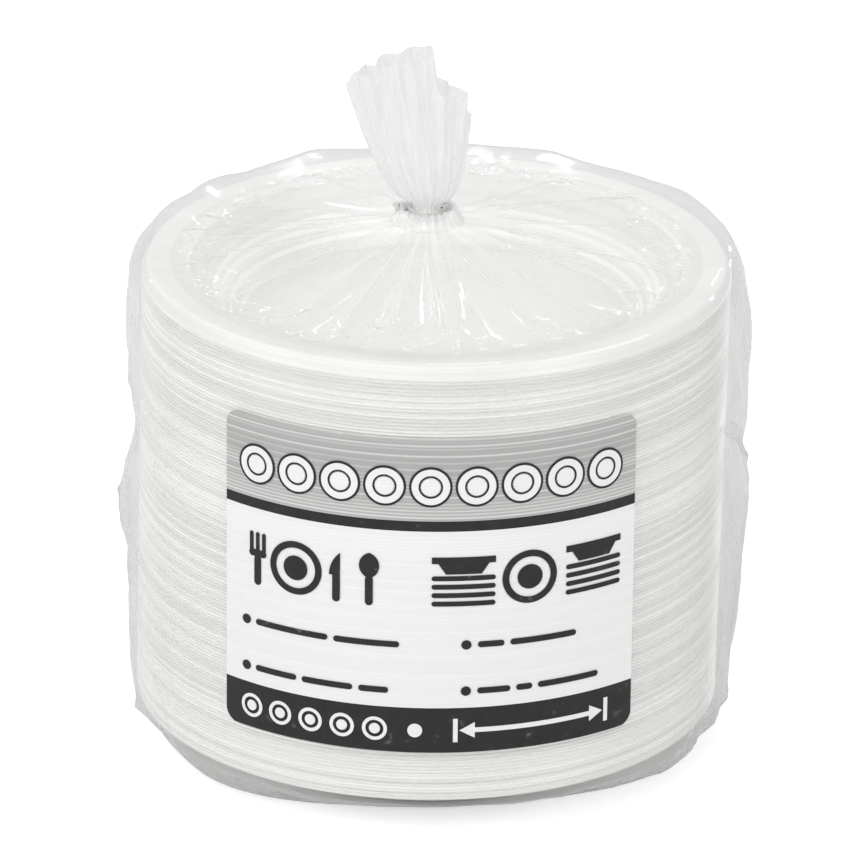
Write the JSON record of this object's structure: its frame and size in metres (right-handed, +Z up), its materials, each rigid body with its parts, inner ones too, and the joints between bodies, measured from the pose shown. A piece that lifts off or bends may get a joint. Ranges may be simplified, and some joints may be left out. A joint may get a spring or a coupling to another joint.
{
  "type": "bagged stack of plastic plates",
  "caption": "Tall nested stack of thin white disposable plates in a clear film bag, gathered and wire-tied at the top, with a printed front panel.",
  "frame": {"origin": "on the floor, under the middle of the bag", "axes": "+Z up through the stack, -Y towards the printed front panel, +X to the viewer's right"},
  "size_m": [0.1923, 0.1839, 0.2206],
  "materials": {
    "plate_plastic": "satin white",
    "clear_film": "clear, glossy",
    "tie_plastic": "translucent",
    "tie_steel": "dull",
    "silver_ink": "satin",
    "dark_ink": "gloss",
    "white_ink": "gloss"
  },
  "bodies": {
    "root": {"plates_01": "plate_plastic", "plates_02": "plate_plastic", "plates_03": "plate_plastic", "plates_04": "plate_plastic", "plates_05": "plate_plastic", "plates_06": "plate_plastic", "plates_07": "plate_plastic", "plates_08": "plate_plastic", "plates_09": "plate_plastic", "plates_10": "plate_plastic", "plates_11": "plate_plastic", "plates_12": "plate_plastic", "plates_13": "plate_plastic", "plates_14": "plate_plastic", "plates_15": "plate_plastic", "plates_16": "plate_plastic", "plates_17": "plate_plastic", "plates_18": "plate_plastic", "plates_19": "plate_plastic", "plates_20": "plate_plastic", "plates_21": "plate_plastic", "plates_22": "plate_plastic", "plates_23": "plate_plastic", "plates_24": "plate_plastic", "plates_25": "plate_plastic", "bag": "clear_film", "tie_coating": "tie_plastic", "tie_wire": "tie_steel", "print_silver_band": "silver_ink", "print_dark_stripe": "dark_ink", "print_white_field": "white_ink", "print_dark_band": "dark_ink", "print_white_marks": "white_ink", "print_dark_marks": "dark_ink"}
  },
  "joints": []
}
